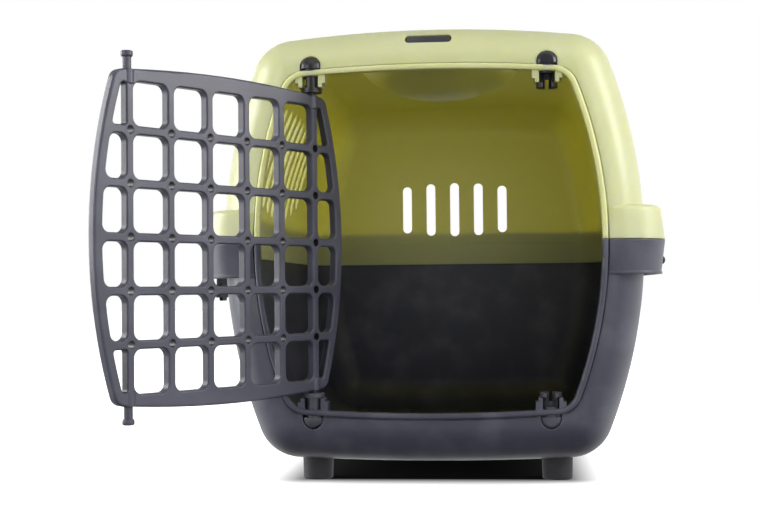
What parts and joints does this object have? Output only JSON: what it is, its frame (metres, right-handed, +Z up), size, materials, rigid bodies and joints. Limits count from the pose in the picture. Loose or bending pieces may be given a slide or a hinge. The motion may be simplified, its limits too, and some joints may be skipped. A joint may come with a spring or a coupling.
{
  "type": "pet transport carrier",
  "caption": "Two-shell moulded plastic pet carrier with an open lattice door on quarter-turn knobs, a roof strap handle, slanted side vents, side clips and round feet.",
  "frame": {"origin": "bottom centre of the whole object as it stands with its door open, on the surface its feet rest on", "axes": "+Y from the door end to the rear, +Z up, +X to the right seen from the door end"},
  "size_m": [0.3586, 0.6268, 0.3211],
  "materials": {
    "lime_plastic": "satin moulded polypropylene, pale lime",
    "grey_plastic": "satin moulded polypropylene, blue grey",
    "door_plastic": "satin moulded plastic, dark blue grey",
    "charcoal_plastic": "satin moulded nylon, charcoal",
    "foot_rubber": "dull"
  },
  "bodies": {
    "shells": {"upper_shell": "lime_plastic", "lower_shell": "grey_plastic", "handle": "door_plastic", "foot_front_left": "foot_rubber", "foot_front_right": "foot_rubber", "foot_rear_left": "foot_rubber", "foot_rear_right": "foot_rubber"},
    "door": {"door_grille": "door_plastic"},
    "knob_top_left": {"knob_top_left": "charcoal_plastic"},
    "knob_top_right": {"knob_top_right": "charcoal_plastic"},
    "knob_bottom_left": {"knob_bottom_left": "charcoal_plastic"},
    "knob_bottom_right": {"knob_bottom_right": "charcoal_plastic"},
    "clip_front_right": {"clip_front_right": "charcoal_plastic"},
    "clip_rear_right": {"clip_rear_right": "charcoal_plastic"},
    "clip_front_left": {"clip_front_left": "charcoal_plastic"},
    "clip_rear_left": {"clip_rear_left": "charcoal_plastic"}
  },
  "joints": [
    {"name": "door_hinge", "type": "hinge", "parent": "shells", "child": "door", "pos_m": [-0.06821, -0.15808, 0.1698], "axis": [0, 0, -1], "range_deg": [-125.3, 17]},
    {"name": "knob_top_left_turn", "type": "hinge", "parent": "shells", "child": "knob_top_left", "pos_m": [-0.06821, -0.15808, 0.2858], "axis": [0, 0, 1], "range_deg": [0, 90]},
    {"name": "knob_top_right_turn", "type": "hinge", "parent": "shells", "child": "knob_top_right", "pos_m": [0.09329, -0.15808, 0.2858], "axis": [0, 0, 1], "range_deg": [0, 90]},
    {"name": "knob_bottom_left_turn", "type": "hinge", "parent": "shells", "child": "knob_bottom_left", "pos_m": [-0.06821, -0.15808, 0.0538], "axis": [0, 0, 1], "range_deg": [0, 90]},
    {"name": "knob_bottom_right_turn", "type": "hinge", "parent": "shells", "child": "knob_bottom_right", "pos_m": [0.09329, -0.15808, 0.0538], "axis": [0, 0, 1], "range_deg": [0, 90]},
    {"name": "clip_front_right_pivot", "type": "hinge", "parent": "shells", "child": "clip_front_right", "pos_m": [0.17594, -0.06308, 0.1568], "axis": [0, 1, 0], "range_deg": [0, 186]},
    {"name": "clip_rear_right_pivot", "type": "hinge", "parent": "shells", "child": "clip_rear_right", "pos_m": [0.17594, 0.20592, 0.1568], "axis": [0, 1, 0], "range_deg": [0, 186]},
    {"name": "clip_rear_left_pivot", "type": "hinge", "parent": "shells", "child": "clip_rear_left", "pos_m": [-0.15086, 0.20592, 0.1568], "axis": [0, -1, 0], "range_deg": [0, 186]},
    {"name": "clip_front_left_pivot", "type": "hinge", "parent": "shells", "child": "clip_front_left", "pos_m": [-0.15086, -0.06308, 0.1568], "axis": [0, -1, 0], "range_deg": [-180, 6]}
  ]
}
